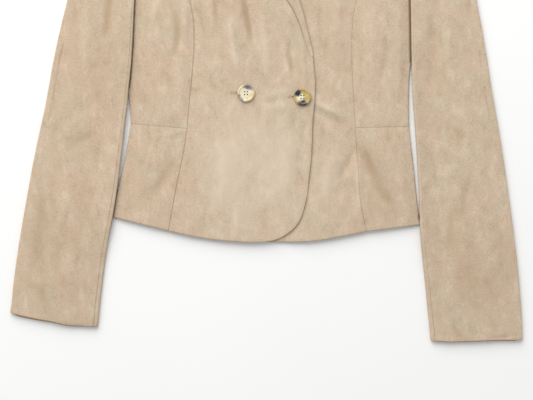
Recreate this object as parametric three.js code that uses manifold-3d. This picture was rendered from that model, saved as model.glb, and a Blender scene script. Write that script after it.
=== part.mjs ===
// A cropped, double-breasted suede jacket laid flat on its back, in millimetres.
// The pattern is drafted from the centre front on the waist line: +X runs to the wearer's left,
// +Y up to the neck and +Z up from the surface that the jacket lies on.
import * as THREE from "three";
import { mergeVertices } from "three/addons/utils/BufferGeometryUtils.js";
import Module from "manifold-3d";

// Driving sizes
const wall = 1.4; // thickness of the suede
const seam = 0.3; // gap between two pieces at a seam
const layGap = 0.3; // gap between a layer and the one it lies on
const turnSteps = 4; // faces round a turned edge
const edgeRow = 2; // width of the narrow row of faces beside each cut edge

const body = {
  restTop: 4.3, // top of the fronts over the surface
  sideTop: 4.3, // height of the turned side edges
  pressedTop: 3.3, // top of a front where another lies on it
  seamTop: 3.2, // top of the fronts where they are sewn to the back
  fullness: 0.9, // soft rise in the middle of each panel
  fullnessRamp: 28, // how far from the princess seams it is reached
  sideFlat: 22, // width of the level strip inside the side edges
  sideRamp: 30,
  deepest: 0.9, // most that a fold may sink below the side edges
  tuck: 8, // how far a side panel reaches round onto the underside
  squeeze: 0.15, // width of the faces that close a row that doesn't turn
  backGap: 0.2, // spare gap beside the side seams on the underside
  armpit: 204.5,
  armholeGap: 0.45, // gap between a body panel and the sleeve's upper end
  shoulderDrop: 30,
  lapelGap: 0.65, // gap between a lapel and the front that it lies on
  foldInset: 2.4, // how far inside its fold a front meets its lapel
  breakRow: 0.02, // share of a fold at which the free edge runs into it
};

// Where the right front lies over the left one
const lap = {
  from: -98, // x at which it starts to rise
  ramp: 34,
  rise: 0.9,
  spare: 0.2, // extra gap between the two fronts
  settle: 3, // how far the level it must clear drops away before the lap
  pressedPast: 24, // how far past the top front's edge the left one stays pressed
  pressedRamp: 22,
};
// Where the right front also lies over the left lapel
const overLapel = { x: -10, y: 230, reach: 96, ramp: 32 };

const sleeve = {
  edgeHeight: 4.8,
  crown: 1.3, // rise of the middle over the edges
  highest: 1.9, // most that the middle and its folds may rise
  lift: 4.9, // underside where the sleeve lies on the body's side
  flat: 7, // how far past the body's edge it stays up
  rowReach: 32, // how far below a row the body's edge still holds it up
  ramp: 17, // how far it takes to come down to the surface beyond that
  fade: 30, // how far it takes past the armpit and the hem
  pastHem: 22, // how far below the hem it stays up
  pastArmpit: 12,
  headRamp: 60, // length over which the head flattens down to the shoulder
  headOver: 0.9, // the head's top over the fronts' at the shoulder
  roundness: 0.8, // power that gives the top its flat middle
  lowest: -1, // most that a fold may sink
  seamAtCuff: 6.5, // the forearm seam's distance from the inner edge
  seamAtArmpit: 3.2,
  tuck: 10, // how far the upper sleeve reaches round the outer edge
  tuckMost: 0.45, // most of the width that it may take where the sleeve is narrow
  seamEases: 0.07, // share of the length over which the forearm seam reaches the armhole
  cuffShape: 6, // power that keeps the cuff's bow near the cuff
  underLonger: 1.2, // the under sleeve shows below the hem
  wideSpan: 72, // width from which the columns at the step keep their places
  stepColumns: [46, 35, 26, 17, 8], // their distances from the inner edge
};

const button = {
  radius: 12.4, height: 4.2, rim: 1.7, dish: 1.1, holeRadius: 1.15, holeAt: 2.7, lift: 0.45,
  restsOn: 0.7, // share of the radius under which the front's height is looked up
};
const buttonPlaces = [
  { name: "button_right", x: -38.5, y: 48 },
  { name: "button_left", x: 42, y: 42.5 },
];

// Outlines, as points from the hem or cuff upwards
const sideRight = [
  { x: -234, y: -127.5 }, { x: -226, y: -104.5 }, { x: -217.5, y: -68.5 }, { x: -208.5, y: -24.5 },
  { x: -204, y: 2 }, { x: -203.5, y: 18 }, { x: -207, y: 46 }, { x: -214, y: 81.5 },
  { x: -219.5, y: 124.5 }, { x: -218, y: 153 }, { x: -210, y: 181.5 }, { x: -196, y: 204.5 },
];
const sideLeft = [
  { x: 211, y: -139.5 }, { x: 206, y: -104.5 }, { x: 202, y: -62 }, { x: 198, y: -27.5 },
  { x: 195, y: 1.5 }, { x: 194.5, y: 46 }, { x: 196, y: 84.5 }, { x: 204, y: 117.5 },
  { x: 211, y: 146 }, { x: 209, y: 176 }, { x: 196, y: 204.5 },
];
const princessRight = [
  { x: -149.5, y: -148.5 }, { x: -137, y: -80.5 }, { x: -129.5, y: -44 }, { x: -123.5, y: -10 },
  { x: -121, y: 21.5 }, { x: -117, y: 60 }, { x: -113, y: 100 }, { x: -112.5, y: 145.5 },
  { x: -118.5, y: 181.5 }, { x: -132, y: 215.5 }, { x: -154, y: 243 }, { x: -181, y: 260 },
];
const princessLeft = [
  { x: 133.5, y: -149.5 }, { x: 124.5, y: -104.5 }, { x: 122, y: -62 }, { x: 119, y: -25.5 },
  { x: 117, y: 6.5 }, { x: 115.5, y: 36 }, { x: 113.5, y: 72 }, { x: 112.5, y: 108.5 },
  { x: 113, y: 140.5 }, { x: 116.5, y: 170 }, { x: 128.5, y: 206.5 }, { x: 150.5, y: 237 },
  { x: 181, y: 260 },
];
// From the foot of the armhole to the shoulder
const armholeRight = [
  { x: -196, y: 204.5 }, { x: -191.5, y: 232 }, { x: -187.5, y: 262.5 }, { x: -188, y: 300 },
  { x: -194, y: 329 },
];
const armholeLeft = armholeRight.map(({ x, y }) => ({ x: -x, y }));
// The top front's free edge from its rounded corner up to the break of the lapel
const frontEdge = [
  { x: 27.5, y: -149 }, { x: 35, y: -139 }, { x: 43.5, y: -119.5 }, { x: 48.5, y: -103 },
  { x: 52, y: -69 }, { x: 56, y: -37 }, { x: 56, y: -4.5 }, { x: 57.5, y: 15.5 },
  { x: 60, y: 38.5 }, { x: 61, y: 56 }, { x: 60.5, y: 78.5 }, { x: 58.5, y: 101.5 },
];
const belowBreak = { x: 58.3, y: 92 }; // where the edge leaves that line for the lapel's fold
const rollLine = [
  { x: 58.5, y: 101.5 }, { x: 56, y: 113 }, { x: 51.5, y: 130.5 }, { x: 48, y: 147.5 },
  { x: 43, y: 164 }, { x: 38, y: 181.5 }, { x: 25, y: 215 }, { x: 6, y: 249 },
  { x: -18, y: 283 }, { x: -42, y: 318 }, { x: -60, y: 345 }, { x: -72, y: 363 },
];
const lapelStart = 5; // the row where the hidden lower end of the left lapel starts
const lapelEdge = [
  { x: 53, y: 99 }, { x: 48, y: 113 }, { x: 42.5, y: 134 }, { x: 37, y: 149.5 },
  { x: 31.5, y: 162.5 }, { x: 20.5, y: 181.5 }, { x: -7, y: 212 }, { x: -43, y: 243 },
  { x: -76, y: 272 }, { x: -100, y: 305 }, { x: -112, y: 332 }, { x: -113, y: 350 },
];
const hemRight = [
  { x: -149.5, y: -148.5 }, { x: -121.5, y: -155 }, { x: -93, y: -160 }, { x: -64.5, y: -163 },
  { x: -36, y: -165 }, { x: -14, y: -164.5 }, { x: 3, y: -161.5 }, { x: 13, y: -158 },
  { x: 20.5, y: -154 }, { x: 27.5, y: -149 },
];
const hemLeft = [
  { x: -61.5, y: -163 }, { x: -18.5, y: -164 }, { x: 10, y: -164.5 }, { x: 38.5, y: -164.5 },
  { x: 64.5, y: -162.5 }, { x: 93, y: -157.5 }, { x: 133.5, y: -149.5 },
];
const hemBack = [
  { x: -225, y: -128 }, { x: -149.5, y: -146 }, { x: -64.5, y: -161 }, { x: -4, y: -163 },
  { x: 64.5, y: -160 }, { x: 133.5, y: -147 }, { x: 202, y: -139 },
];
const neckPoint = { x: 75, y: 363 };
const shoulderEnd = { x: 194, y: 329 };
const neckBack = [
  { x: -75, y: 363 }, { x: -58, y: 353 }, { x: -30, y: 346 }, { x: 0, y: 344 },
  { x: 30, y: 346 }, { x: 58, y: 353 }, { x: 75, y: 363 },
];
// Sleeve edges from the cuff to the shoulder point
const sleeveRightOuter = [
  { x: -376.5, y: -265 }, { x: -366, y: -196 }, { x: -354.5, y: -121.5 }, { x: -340.5, y: -41.5 },
  { x: -324.5, y: 38.5 }, { x: -314.5, y: 96 }, { x: -303, y: 147.5 }, { x: -294.5, y: 181.5 },
  { x: -284.5, y: 224.5 }, { x: -270.5, y: 267.5 }, { x: -249, y: 301.5 }, { x: -221.5, y: 322 },
  { x: -202, y: 327.5 },
];
const sleeveRightInner = [
  { x: -250.5, y: -284 }, { x: -245, y: -231 }, { x: -239, y: -182.5 }, { x: -229, y: -129 },
  { x: -222, y: -83 }, { x: -217, y: -37 }, { x: -214, y: -2.5 }, { x: -209.5, y: 26.5 },
  { x: -203.5, y: 72.5 }, { x: -200, y: 121 }, { x: -197.5, y: 181.5 }, ...armholeRight,
];
const sleeveLeftOuter = [
  { x: 357.5, y: -303 }, { x: 355, y: -251 }, { x: 348, y: -178 }, { x: 340.5, y: -119.5 },
  { x: 334.5, y: -76 }, { x: 326, y: -25.5 }, { x: 314, y: 45 }, { x: 304, y: 120.5 },
  { x: 291.5, y: 181.5 }, { x: 282.5, y: 224.5 }, { x: 267.5, y: 267.5 }, { x: 247.5, y: 301.5 },
  { x: 220, y: 322 }, { x: 202, y: 327.5 },
];
const sleeveLeftInner = [
  { x: 226.5, y: -306 }, { x: 221.5, y: -246 }, { x: 216.5, y: -192.5 }, { x: 210, y: -136.5 },
  { x: 208, y: -86 }, { x: 205.5, y: -37.5 }, { x: 202.5, y: 11 }, { x: 200, y: 45 },
  { x: 197.5, y: 86 }, { x: 196.5, y: 153 }, { x: 196, y: 181.5 }, ...armholeLeft,
];
const cuffBow = { right: -6, left: -1.5 }; // how far a cuff's middle hangs below its corners

// Folds, each from one point to another: half its width, and its rise at either end
const bodyFolds = [
  { x1: -40, y1: 178, x2: -29, y2: 112, half: 9, rise1: -1.6, rise2: -0.7 },
  { x1: -62, y1: 150, x2: -52, y2: 82, half: 12, rise1: 0.8, rise2: 0.9 },
  { x1: 20, y1: 130, x2: 36, y2: 62, half: 10, rise1: 0.5, rise2: 1.4 },
  { x1: -147, y1: 168, x2: -136, y2: 100, half: 12, rise1: -1.5, rise2: -0.9 },
  { x1: -127, y1: 182, x2: -124, y2: 110, half: 8, rise1: 1.2, rise2: 0.4 },
  { x1: 62, y1: 32, x2: 104, y2: 13, half: 11, rise1: 1.7, rise2: 1.2 },
  { x1: 74, y1: 10, x2: 106, y2: -3, half: 9, rise1: -0.8, rise2: -1 },
  { x1: 112, y1: -28, x2: 88, y2: -92, half: 13, rise1: -1.5, rise2: -0.6 },
  { x1: 130, y1: -30, x2: 178, y2: -118, half: 15, rise1: -1.6, rise2: -0.8 },
  { x1: 121, y1: -55, x2: 126, y2: -130, half: 13, rise1: 1, rise2: 1.4 },
  { x1: 150, y1: -20, x2: 190, y2: -60, half: 16, rise1: 1, rise2: 0.6 },
  { x1: -137, y1: -42, x2: -182, y2: -108, half: 17, rise1: -1, rise2: -1.4 },
  { x1: -150, y1: -20, x2: -190, y2: -70, half: 16, rise1: 0.9, rise2: 0.5 },
  { x1: -70, y1: 34, x2: -20, y2: 30, half: 14, rise1: 0.9, rise2: 0.5 },
  { x1: 160, y1: 165, x2: 150, y2: 60, half: 18, rise1: 1, rise2: 0.4 },
  { x1: -170, y1: 150, x2: -160, y2: 50, half: 16, rise1: 0.8, rise2: 0.4 },
];
const sleeveFolds = [
  { x1: -234, y1: 166, x2: -240, y2: 100, half: 12, rise1: -1.3, rise2: -0.5 },
  { x1: -262, y1: 150, x2: -276, y2: 10, half: 18, rise1: 0.9, rise2: 0.5 },
  { x1: -226, y1: 250, x2: -262, y2: 205, half: 16, rise1: 0.8, rise2: 0.3 },
  { x1: 226, y1: 250, x2: 258, y2: 200, half: 16, rise1: 0.8, rise2: 0.3 },
  { x1: 236, y1: 140, x2: 250, y2: 10, half: 18, rise1: -0.9, rise2: -0.4 },
  { x1: 282, y1: 60, x2: 288, y2: -60, half: 18, rise1: 0.7, rise2: 0.6 },
  { x1: -318, y1: -90, x2: -330, y2: -190, half: 18, rise1: -0.6, rise2: -0.7 },
  { x1: 262, y1: -120, x2: 258, y2: -230, half: 16, rise1: 0.5, rise2: 0.8 },
];

const suedeColour = 0xd0b898;
const hornColours = { button_right: 0xe6dcc4, button_left: 0xb59a5e };

const { clamp, lerp } = THREE.MathUtils;
const smooth = (t) => THREE.MathUtils.smoothstep(t, 0, 1);
const softMax = (a, b) => (a + b + Math.hypot(a - b, 0.4)) / 2;
const fromTo = (start, end, steps) =>
  Array.from({ length: steps + 1 }, (_, k) => lerp(start, end, k / steps));

// The x of an outline at a height, straight between its points
function xAt(points, y) {
  const last = points.length - 1;
  if (y <= points[0].y) return points[0].x;
  if (y >= points[last].y) return points[last].x;
  const k = points.findIndex((p) => p.y > y);
  const [low, high] = [points[k - 1], points[k]];
  return lerp(low.x, high.x, (y - low.y) / (high.y - low.y));
}

// A smooth edge through an outline's points, walked from 0 to 1 by its length
function edgeThrough(points) {
  const curve = new THREE.CatmullRomCurve3(
    points.map(({ x, y }) => new THREE.Vector3(x, y, 0)), false, "centripetal",
  );
  curve.arcLengthDivisions = 400;
  const along = (v) => curve.getPointAt(clamp(v, 0, 1));
  along.span = curve.getLength();
  return along;
}
const straight = (a, b) => edgeThrough([a, b]);

// The share of an edge's length at which it comes to a height
function shareAt(edge, y) {
  let [low, high] = [0, 1];
  for (let step = 0; step < 30; step += 1) {
    const middle = (low + high) / 2;
    if (edge(middle).y < y) low = middle;
    else high = middle;
  }
  return low;
}
function partOf(edge, from, to) {
  const along = (v) => edge(lerp(from, to, v));
  along.span = edge.span * (to - from);
  return along;
}

// Two edges end to end
function joined(first, second) {
  const whole = first.span + second.span;
  const share = first.span / whole;
  const along = (v) => (v < share ? first(v / share) : second((v - share) / (1 - share)));
  along.span = whole;
  return along;
}

function ridge({ x1, y1, x2, y2, half, rise1, rise2 }, x, y) {
  const [dx, dy] = [x2 - x1, y2 - y1];
  const k = clamp(((x - x1) * dx + (y - y1) * dy) / (dx * dx + dy * dy), 0, 1);
  const away = Math.hypot(x - x1 - k * dx, y - y1 - k * dy) / half;
  return away < 1 ? (lerp(rise1, rise2, k) * (1 + Math.cos(Math.PI * away))) / 2 : 0;
}
const foldsAt = (folds, x, y) => folds.reduce((sum, fold) => sum + ridge(fold, x, y), 0);

// How far a point is inside the body's side edge, negative outside it
const insideRight = (x, y) => x - xAt(sideRight, y);
const insideLeft = (x, y) => xAt(sideLeft, y) - x;

const shoulderAt = (x) =>
  lerp(
    neckPoint.y, shoulderEnd.y,
    clamp((Math.abs(x) - neckPoint.x) / (shoulderEnd.x - neckPoint.x), 0, 1),
  );
const belowShoulder = (x, y) => smooth((shoulderAt(x) - y) / body.shoulderDrop);

// Top of the body's first front layer
function bodyTop(x, y) {
  const fromSide = Math.min(insideRight(x, y), insideLeft(x, y));
  const free = smooth((fromSide - body.sideFlat) / body.sideRamp);
  const fromSeams = Math.min(
    Math.abs(x - xAt(princessRight, y)),
    Math.abs(x - xAt(princessLeft, y)),
  );
  const swell = body.fullness * smooth(fromSeams / body.fullnessRamp);
  const top = body.restTop + free * (swell + foldsAt(bodyFolds, x, y));
  return lerp(body.seamTop, softMax(top, body.sideTop - body.deepest), belowShoulder(x, y));
}

const topFrontEdgeX = (y) => (y < rollLine[0].y ? xAt(frontEdge, y) : xAt(rollLine, y));

// The wearer's left front is pressed flat where the right one laps over it
function leftFrontTop(x, y) {
  const underLapel = y > lapelEdge[lapelStart].y ? -xAt(lapelEdge, y) : -Infinity;
  const pressedTo = Math.max(topFrontEdgeX(y), underLapel) + lap.pressedPast;
  const pressed = lerp(body.seamTop, body.pressedTop, belowShoulder(x, y));
  return lerp(bodyTop(x, y), pressed, smooth((pressedTo - x) / lap.pressedRamp));
}

const overLeftLapel = (x, y) =>
  smooth((overLapel.reach - Math.hypot(x - overLapel.x, y - overLapel.y)) / overLapel.ramp);

function rightFrontTop(x, y) {
  const over = smooth((x - lap.from) / lap.ramp);
  const lapped = body.pressedTop + layGap + wall + lap.spare - (1 - over) * lap.settle;
  const raised = softMax(bodyTop(x, y) + lap.rise * over, lapped);
  return raised + belowShoulder(x, y) * (wall + layGap) * overLeftLapel(x, y);
}

function sleeveFloor(inside, hemY, x, y) {
  const reach = Math.max(inside(x, y), inside(x, y - sleeve.rowReach));
  const onBody = smooth((reach + sleeve.flat + sleeve.ramp) / sleeve.ramp);
  const aboveHem = smooth((y - hemY + sleeve.pastHem + sleeve.fade) / sleeve.fade);
  const belowArmpit = smooth((body.armpit + sleeve.pastArmpit + sleeve.fade - y) / sleeve.fade);
  return sleeve.lift * onBody * aboveHem * belowArmpit;
}

// Shares of an edge's length with a narrow row beside each end
function shares(length, steps) {
  const narrow = edgeRow / length;
  const gap = seam / 2 / length;
  return [gap, ...fromTo(narrow, 1 - narrow, steps), 1 - gap];
}

const sideRows = { above: 11, below: 6 };
const sleeveRows = 18;
const waistline = { right: { side: 5, princess: -2 }, left: { side: 1, princess: -1 } };

// A side panel's outer edge and its princess seam, above or below the waist seam
function sideEdges(right, aboveWaist) {
  const outline = edgeThrough(right ? sideRight : sideLeft);
  const princess = edgeThrough(right ? princessRight : princessLeft);
  const waist = right ? waistline.right : waistline.left;
  const [sideCut, princessCut] = [shareAt(outline, waist.side), shareAt(princess, waist.princess)];
  if (!aboveWaist) return [partOf(outline, 0, sideCut), partOf(princess, 0, princessCut)];
  const armhole = edgeThrough((right ? armholeRight : armholeLeft).slice(0, 3));
  return [joined(partOf(outline, sideCut, 1), armhole), partOf(princess, princessCut, 1)];
}
const armpitShareOf = (right) => shareAt(sideEdges(right, true)[0], body.armpit);
const meanSpan = (edges) => (edges[0].span + edges[1].span) / 2;

// Rows of a whole panel that meet those of the side panels beside it up to some share of the
// upper one, with more rows above them
function matchedRows(right, wholeSpan, sideSpans, upTo, rowsAbove) {
  const [low, high] = [sideEdges(right, false), sideEdges(right, true)];
  const below = shares(meanSpan(low), sideRows.below).slice(0, -2);
  const above = shares(meanSpan(high), sideRows.above).slice(2, -1).filter((v) => v < upTo - 0.01);
  const [waistShare, armholeShare] = [sideSpans[0], sideSpans[0] + sideSpans[1]].map(
    (span) => span / wholeSpan,
  );
  const rest = (wholeSpan * (1 - armholeShare) - edgeRow) / wholeSpan;
  return [
    ...below.map((v) => v * waistShare),
    waistShare,
    ...above.map((v) => lerp(waistShare, armholeShare, v / upTo)),
    ...fromTo(armholeShare, armholeShare + rest, rowsAbove),
    1 - seam / 2 / wholeSpan,
  ];
}

// A closed wall from rows of points on its two faces. Rows run up and columns to the left front.
function wallFrom(outer, inner, material) {
  const [rows, cols] = [outer.length, outer[0].length];
  const positions = [...outer, ...inner].flatMap((row) => row.flatMap((p) => [p.x, p.y, p.z]));
  const face = rows * cols;
  const index = [];
  const quad = (a, b, c, d) => index.push(a, b, c, a, c, d);
  for (let j = 0; j < rows - 1; j += 1) {
    for (let i = 0; i < cols - 1; i += 1) {
      const a = j * cols + i;
      const [b, c, d] = [a + 1, a + cols + 1, a + cols];
      quad(a, b, c, d);
      quad(face + a, face + d, face + c, face + b);
    }
  }
  const rim = [];
  for (let i = 0; i < cols - 1; i += 1) rim.push(i);
  for (let j = 0; j < rows - 1; j += 1) rim.push(j * cols + cols - 1);
  for (let i = cols - 1; i > 0; i -= 1) rim.push((rows - 1) * cols + i);
  for (let j = rows - 1; j > 0; j -= 1) rim.push(j * cols);
  rim.forEach((a, k) => {
    const b = rim[(k + 1) % rim.length];
    quad(a, face + a, face + b, b);
  });
  const geometry = new THREE.BufferGeometry();
  geometry.setAttribute("position", new THREE.Float32BufferAttribute(positions, 3));
  geometry.setIndex(index);
  geometry.computeVertexNormals();
  return new THREE.Mesh(geometry, material);
}

const below = (p, depth) => new THREE.Vector3(p.x, p.y, p.z - depth);

// A flat piece between four edges, with its top face at a given height
function flatPiece({ bottom, top, left, right, cols, upAt, heightAt, material }) {
  const acrossAt = shares((bottom.span + top.span) / 2, cols);
  const corner = { low: [bottom(0), bottom(1)], high: [top(0), top(1)] };
  const outer = upAt.map((v) =>
    acrossAt.map((u) => {
      const place = (axis) => {
        const upwards = lerp(bottom(u)[axis], top(u)[axis], v);
        const sideways = lerp(left(v)[axis], right(v)[axis], u);
        const low = lerp(corner.low[0][axis], corner.low[1][axis], u);
        const high = lerp(corner.high[0][axis], corner.high[1][axis], u);
        return upwards + sideways - lerp(low, high, v);
      };
      const [x, y] = [place("x"), place("y")];
      return new THREE.Vector3(x, y, heightAt(x, y));
    }),
  );
  const inner = outer.map((row) => row.map((p) => below(p, wall)));
  return wallFrom(outer, inner, material);
}

// A piece that turns round an edge: along the underside, round the edge and back over the top.
// rowAt gives, for a share of the edge's length, the edge, both ends and how the row turns: round
// the edge, or not at all, when its narrow faces lie beside the edge, over or under.
function turnedPiece({ length, rows, rowAt, underAt, overCols, floorAt, topAt, onLeft, material }) {
  const [outer, inner] = [[], []];
  const [up, down] = [new THREE.Vector3(0, 0, 1), new THREE.Vector3(0, 0, -1)];
  shares(length, rows).forEach((v) => {
    const { edge, underEnd, overEnd, turns } = rowAt(v);
    const inward = (turns === "under" ? underEnd : overEnd).clone().sub(edge).normalize();
    const low = floorAt(edge.x, edge.y);
    const radius = (topAt(edge.x, edge.y) - low) / 2;
    const fromEdge = (distance) => edge.clone().addScaledVector(inward, distance);
    const [out, back] = [[], []];
    const add = (place, z, normal) => {
      const onFace = new THREE.Vector3(place.x, place.y, z);
      out.push(onFace);
      back.push(onFace.clone().addScaledVector(normal, -wall));
    };
    const addUnder = (place) => add(place, floorAt(place.x, place.y), down);
    const addOver = (place) => add(place, topAt(place.x, place.y), up);
    const squeezed = (k) => fromEdge(body.squeeze * k);
    const folded = turnSteps + 1;
    if (turns === "over") {
      const last = underAt(body.tuck).length + folded - 1;
      fromTo(0, last, last).forEach((k) => addOver(squeezed(k)));
      const start = squeezed(last);
      fromTo(0, 1, overCols).slice(1).forEach((u) => addOver(start.clone().lerp(overEnd, u)));
    } else if (turns === "under") {
      const last = overCols + folded;
      const start = squeezed(last);
      underAt(underEnd.distanceTo(start)).forEach((u) => addUnder(underEnd.clone().lerp(start, u)));
      fromTo(last - 1, 0, last - 1).forEach((k) => addUnder(squeezed(k)));
    } else {
      const centre = fromEdge(radius);
      const columns = underAt(underEnd.distanceTo(centre));
      columns.forEach((u) => addUnder(underEnd.clone().lerp(centre, u)));
      fromTo(-Math.PI / 2, Math.PI / 2, turnSteps).forEach((angle) => {
        const normal = inward.clone().multiplyScalar(-Math.cos(angle));
        normal.z = Math.sin(angle);
        add(fromEdge(radius * (1 - Math.cos(angle))), low + radius * (1 + Math.sin(angle)), normal);
      });
      fromTo(0, 1, overCols).slice(1).forEach((u) => addOver(centre.clone().lerp(overEnd, u)));
    }
    outer.push(onLeft ? out : out.reverse());
    inner.push(onLeft ? back : back.reverse());
  });
  return wallFrom(outer, inner, material);
}

const suede = (name) =>
  new THREE.MeshStandardMaterial({ name, color: suedeColour, roughness: 0.95, metalness: 0 });
const horn = (name) =>
  new THREE.MeshStandardMaterial({ name, color: hornColours[name], roughness: 0.3, metalness: 0 });

const jacket = new THREE.Group();
const offset = (points, dx) => points.map(({ x, y }) => ({ x: x + dx, y }));
const mirror = ({ x, y }) => ({ x: -x, y });
const point = (x, y) => new THREE.Vector3(x, y, 0);
const moved = (from, to, distance) =>
  from.clone().addScaledVector(new THREE.Vector3().subVectors(to, from).normalize(), distance);

function addPiece(name, mesh) {
  mesh.name = name;
  jacket.add(mesh);
}

// The side seam on the underside, and the armhole above it
function backSide(right) {
  const underSeam = [false, true].map((aboveWaist) => {
    const [edge, far] = sideEdges(right, aboveWaist);
    const upTo = aboveWaist ? armpitShareOf(right) : 1;
    const along = (v) => moved(edge(v * upTo), far(v * upTo), body.tuck + body.backGap);
    along.span = meanSpan([edge, far]) * upTo;
    return along;
  });
  const side = right ? 1 : -1;
  const armhole = offset((right ? armholeRight : armholeLeft).slice(1), side * body.armholeGap);
  const upper = edgeThrough([underSeam[1](1), ...armhole]);
  return { edge: joined(joined(...underSeam), upper), spans: underSeam.map(({ span }) => span) };
}

function back() {
  const [rightSide, leftSide] = [backSide(true), backSide(false)];
  const shoulders = joined(
    joined(straight(mirror(shoulderEnd), neckBack[0]), edgeThrough(neckBack)),
    straight(neckBack.at(-1), shoulderEnd),
  );
  return flatPiece({
    bottom: edgeThrough(hemBack),
    top: shoulders,
    left: rightSide.edge,
    right: leftSide.edge,
    cols: 8,
    upAt: matchedRows(true, rightSide.edge.span, rightSide.spans, armpitShareOf(true), 5),
    heightAt: () => wall,
    material: suede("back"),
  });
}

// Where a lapel's fold meets the front that it belongs to
function foldSeam(right, start) {
  const { roll, outline } = lapelEdges(right, start);
  const along = (v) => moved(roll(v), outline(v), body.foldInset);
  along.span = roll.span;
  return along;
}

// Each front runs from the princess seam, and the armhole above it, to the free edge
function front(name, right) {
  const [low, high] = [sideEdges(right, false)[1], sideEdges(right, true)[1]];
  const side = right ? -1 : 1;
  const armhole = offset((right ? armholeRight : armholeLeft).slice(2), -side * body.armholeGap);
  const upper = joined(straight(high(1), armhole[0]), edgeThrough(armhole));
  const outside = joined(joined(low, high), upper);
  const fold = foldSeam(right, right ? 0 : lapelStart);
  const underEdge = [...frontEdge.slice(4), ...rollLine.slice(1, lapelStart)].map(mirror);
  const freeEdge = right ? [...frontEdge.slice(0, -1), belowBreak] : [hemLeft[0], ...underEdge];
  const opening = joined(
    edgeThrough([...freeEdge, fold(body.breakRow)]),
    partOf(fold, body.breakRow, 1),
  );
  const shoulder = right ? mirror(shoulderEnd) : shoulderEnd;
  return flatPiece({
    bottom: edgeThrough(right ? hemRight : hemLeft),
    top: right ? straight(shoulder, fold(1)) : straight(fold(1), shoulder),
    left: right ? outside : opening,
    right: right ? opening : outside,
    cols: 12,
    upAt: matchedRows(right, outside.span, [low.span, high.span], 1, 3),
    heightAt: right ? rightFrontTop : leftFrontTop,
    material: suede(name),
  });
}

// Side panels turn round the body's side edge: one above the waist seam and one below it
function sidePanel(name, right, aboveWaist) {
  const edges = sideEdges(right, aboveWaist);
  const turnsUpTo = aboveWaist ? armpitShareOf(right) : 1;
  return turnedPiece({
    length: meanSpan(edges),
    rows: aboveWaist ? sideRows.above : sideRows.below,
    rowAt: (v) => {
      const [edge, far] = [edges[0](v), edges[1](v)];
      const turns = v < turnsUpTo ? "round" : "over";
      return {
        edge: turns === "round" ? edge : moved(edge, far, body.armholeGap),
        overEnd: moved(far, edge, seam / 2),
        underEnd: moved(edge, far, body.tuck - seam / 2),
        turns,
      };
    },
    underAt: () => [0],
    overCols: 7,
    floorAt: () => 0,
    topAt: bodyTop,
    onLeft: right,
    material: suede(name),
  });
}

// Columns of the under sleeve, close together where it steps down from the body to the surface
function underSleeveColumns(width) {
  const scale = Math.min(1, width / sleeve.wideSpan) / width;
  const near = sleeve.stepColumns.map((distance) => 1 - distance * scale);
  return [0, near[0] / 2, ...near];
}

// Two-piece sleeves. The upper one turns round the outer edge and the under one round the inner
// edge, and the forearm seam shows beside the inner edge.
function sleevePiece(name, right, upper) {
  const outerEdge = edgeThrough(right ? sleeveRightOuter : sleeveLeftOuter);
  const innerEdge = edgeThrough(right ? sleeveRightInner : sleeveLeftInner);
  const inside = right ? insideRight : insideLeft;
  const hemY = right ? sideRight[0].y : sideLeft[0].y;
  const folds = sleeveFolds.filter(({ x1 }) => x1 < 0 === right);
  const armpitShare = shareAt(innerEdge, body.armpit);
  const bow = right ? cuffBow.right : cuffBow.left;
  const longer = upper ? 0 : sleeve.underLonger;
  const dropped = (p, u, v) =>
    point(p.x, p.y + (1 - v) ** sleeve.cuffShape * (bow * 4 * u * (1 - u) - longer));
  const floorAt = (x, y) => sleeveFloor(inside, hemY, x, y);
  const between = (v, u) => dropped(outerEdge(v).lerp(innerEdge(v), u), u, v);
  const heightAt = (x, y) => {
    const [outerX, innerX] = [xAt(right ? sleeveRightOuter : sleeveLeftOuter, y),
      xAt(right ? sleeveRightInner : sleeveLeftInner, y)];
    const across = clamp((x - outerX) / (innerX - outerX), 0, 1);
    const middle = Math.sin(Math.PI * across) ** sleeve.roundness;
    const head = smooth((shoulderEnd.y - y) / sleeve.headRamp);
    const rise = (sleeve.crown + foldsAt(folds, x, y)) * middle * head;
    const level = lerp(body.seamTop + sleeve.headOver, sleeve.edgeHeight, head);
    return level + clamp(rise, sleeve.lowest, sleeve.highest);
  };
  const forearmSeam = (v) =>
    lerp(sleeve.seamAtCuff, sleeve.seamAtArmpit, clamp(v / armpitShare, 0, 1));
  const rowAt = (v) => {
    const [outside, insideEdge] = [between(v, 0), between(v, 1)];
    const open = v > armpitShare;
    const width = outside.distanceTo(insideEdge);
    const pastArmpit = smooth((v - armpitShare) / sleeve.seamEases);
    const elbowSeam = Math.min(sleeve.tuck, width * sleeve.tuckMost);
    if (upper) {
      const fromInner = lerp(forearmSeam(v), seam / 2, pastArmpit);
      return {
        edge: outside,
        overEnd: between(v, 1 - fromInner / width),
        underEnd: between(v, (elbowSeam - seam / 2) / width),
        turns: "round",
      };
    }
    return {
      edge: open ? moved(insideEdge, outside, seam / 2) : insideEdge,
      overEnd: between(v, 1 - (forearmSeam(v) - seam) / width),
      underEnd: between(v, (elbowSeam + seam / 2) / width),
      turns: open ? "under" : "round",
    };
  };
  return turnedPiece({
    length: (outerEdge.span + innerEdge.span) / 2,
    rows: sleeveRows,
    rowAt,
    underAt: upper ? () => [0] : underSleeveColumns,
    overCols: upper ? 9 : 1,
    floorAt,
    topAt: (x, y) => floorAt(x, y) + heightAt(x, y),
    onLeft: upper ? right : !right,
    material: suede(name),
  });
}

// A lapel's roll line and its outer edge. The left one's lower end is hidden and starts higher.
function lapelEdges(right, start) {
  const placed = (points) => (right ? points : points.map(mirror)).slice(start);
  return { roll: edgeThrough(placed(rollLine)), outline: edgeThrough(placed(lapelEdge)) };
}

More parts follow.
